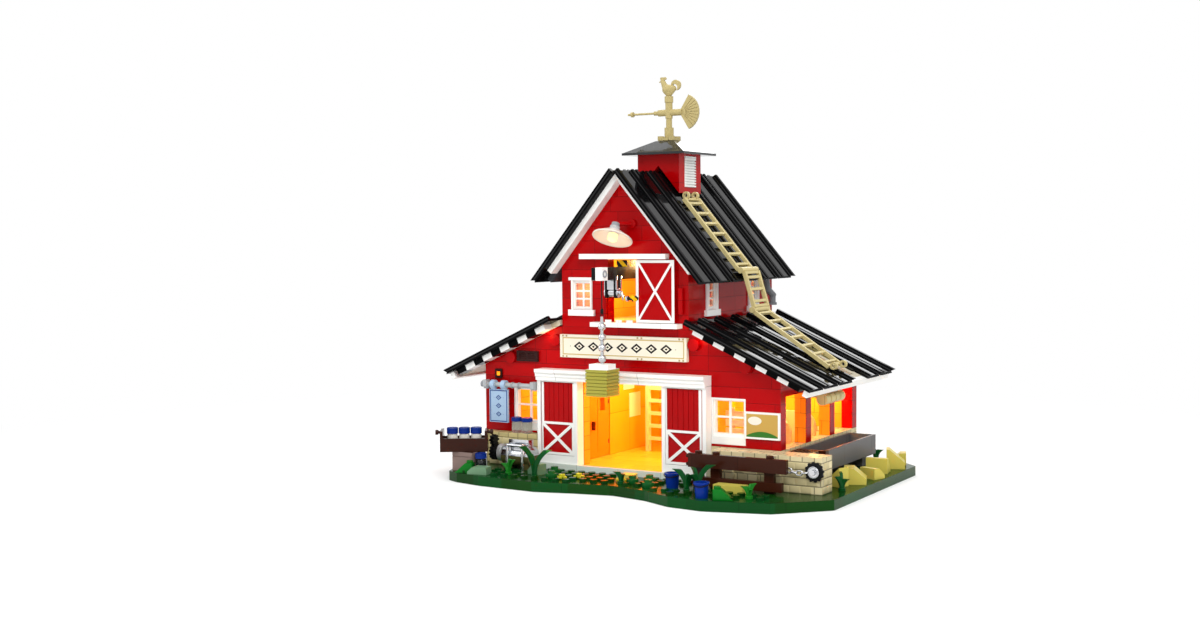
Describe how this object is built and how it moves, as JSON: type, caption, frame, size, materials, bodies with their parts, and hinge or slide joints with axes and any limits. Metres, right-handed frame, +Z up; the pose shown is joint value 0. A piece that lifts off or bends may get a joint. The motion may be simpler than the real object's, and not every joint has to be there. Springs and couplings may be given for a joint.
{
  "type": "toy barn with opening doors",
  "caption": "Toy barn of building bricks on a planted base: sliding doors with swinging leaves, a loft door, hoist and hay bale, an inner door, swinging sign and weather vane.",
  "frame": {"origin": "on the ground, under the middle of the front wall's face", "axes": "+X to the viewer's right along the front wall, +Y into the barn, +Z up"},
  "size_m": [0.2973, 0.203, 0.2722],
  "materials": {
    "dark_green_plastic": "moulded dark green building-brick plastic",
    "leaf_green_plastic": "moulded green plastic leaves",
    "pale_tan_plastic": "moulded tan building-brick plastic",
    "tan_plastic": "moulded tan building-brick plastic",
    "barn_red_plastic": "glossy dark red building-brick plastic",
    "yellow_plastic": "moulded yellow building-brick plastic",
    "cream_plastic": "moulded cream plastic",
    "white_plastic": "moulded white plastic",
    "grey_plastic": "moulded grey plastic",
    "black_plastic": "glossy black plastic",
    "brown_plastic": "moulded dark brown plastic",
    "silver_plastic": "silver-coloured plastic",
    "olive_plastic": "moulded olive plastic",
    "blue_plastic": "moulded blue plastic",
    "sky_blue_plastic": "printed light blue plastic panel",
    "black_string": "thin black braided string"
  },
  "bodies": {
    "barn": {"base_plate": "dark_green_plastic", "garden_plants": "leaf_green_plastic", "garden_rocks": "pale_tan_plastic", "barn_floor": "tan_plastic", "left_foundation": "tan_plastic", "right_foundation": "tan_plastic", "lower_front_wall": "barn_red_plastic", "lower_left_wall": "barn_red_plastic", "lower_right_wall": "barn_red_plastic", "lower_back_wall": "barn_red_plastic", "upper_front_wall": "barn_red_plastic", "upper_left_wall": "barn_red_plastic", "upper_right_wall": "barn_red_plastic", "upper_back_wall": "barn_red_plastic", "loft_floor": "tan_plastic", "partition_walls": "yellow_plastic", "inner_ladder": "cream_plastic", "header_track": "white_plastic", "door_sill": "white_plastic", "loft_track": "white_plastic", "loft_sill": "white_plastic", "lower_windows": "white_plastic", "upper_windows": "white_plastic", "main_decks": "grey_plastic", "main_planks": "black_plastic", "side_decks": "grey_plastic", "side_planks": "black_plastic", "gable_trim": "white_plastic", "rafter_tails": "white_plastic", "purlin_ends": "barn_red_plastic", "cupola_body": "barn_red_plastic", "cupola_louvre": "white_plastic", "cupola_roof": "black_plastic", "sign_board": "cream_plastic", "wall_fittings": "brown_plastic", "sign_bar": "grey_plastic", "poster_board": "white_plastic", "lamp_arm": "barn_red_plastic", "lamp_shade": "white_plastic", "roof_ladders": "tan_plastic", "fence": "brown_plastic", "gate_chain": "silver_plastic", "feed_trough": "grey_plastic", "stall_dividers": "cream_plastic", "hoist_boom": "black_plastic", "milk_machine": "olive_plastic", "milk_tray": "brown_plastic", "milk_jars": "white_plastic", "buckets": "blue_plastic", "hoist_string": "black_string"},
    "left_slider": {"left_door_frame": "white_plastic"},
    "left_leaf": {"left_door_leaf": "barn_red_plastic"},
    "right_slider": {"right_door_frame": "white_plastic"},
    "right_leaf": {"right_door_leaf": "barn_red_plastic"},
    "loft_slider": {"loft_door": "barn_red_plastic"},
    "inner_leaf": {"inner_door": "brown_plastic"},
    "sign": {"hanging_sign": "sky_blue_plastic"},
    "vane": {"weather_vane": "tan_plastic"},
    "crank": {"winch_crank": "yellow_plastic"},
    "load": {"hoist_load": "olive_plastic"}
  },
  "joints": [
    {"name": "left_door_slide", "type": "slide", "parent": "barn", "child": "left_slider", "axis": [1, 0, 0], "range_m": [0, 0.0318]},
    {"name": "right_door_slide", "type": "slide", "parent": "barn", "child": "right_slider", "axis": [-1, 0, 0], "range_m": [0, 0.0318]},
    {"name": "left_leaf_swing", "type": "hinge", "parent": "left_slider", "child": "left_leaf", "pos_m": [-0.0596, -0.00605, 0.0352], "axis": [0, 0, -1], "range_deg": [0, 85]},
    {"name": "right_leaf_swing", "type": "hinge", "parent": "right_slider", "child": "right_leaf", "pos_m": [0.0596, -0.00605, 0.0352], "axis": [0, 0, 1], "range_deg": [0, 60]},
    {"name": "loft_door_slide", "type": "slide", "parent": "barn", "child": "loft_slider", "axis": [-1, 0, 0], "range_m": [0, 0.0069]},
    {"name": "inner_door_swing", "type": "hinge", "parent": "barn", "child": "inner_leaf", "pos_m": [-0.0415, 0.0462, 0.0352], "axis": [0, 0, 1], "range_deg": [0, 80]},
    {"name": "sign_swing", "type": "hinge", "parent": "barn", "child": "sign", "pos_m": [-0.0952, -0.008, 0.0617], "axis": [1, 0, 0], "range_deg": [-100, 12]},
    {"name": "vane_turn", "type": "hinge", "parent": "barn", "child": "vane", "pos_m": [0, 0.064, 0.2476], "axis": [0, 0, 1], "continuous": true},
    {"name": "load_travel", "type": "slide", "parent": "barn", "child": "load", "axis": [0, 0, 1], "range_m": [-0.05, 0.018], "deforming": ["hoist_string"]},
    {"name": "crank_turn", "type": "hinge", "parent": "barn", "child": "crank", "pos_m": [0, -0.014, 0.1264], "axis": [1, 0, 0], "range_deg": [-1062, 1062]}
  ],
  "couplings": [
    {"joint": "crank_turn", "follows": "load_travel", "rad_per_m": 370.37}
  ]
}
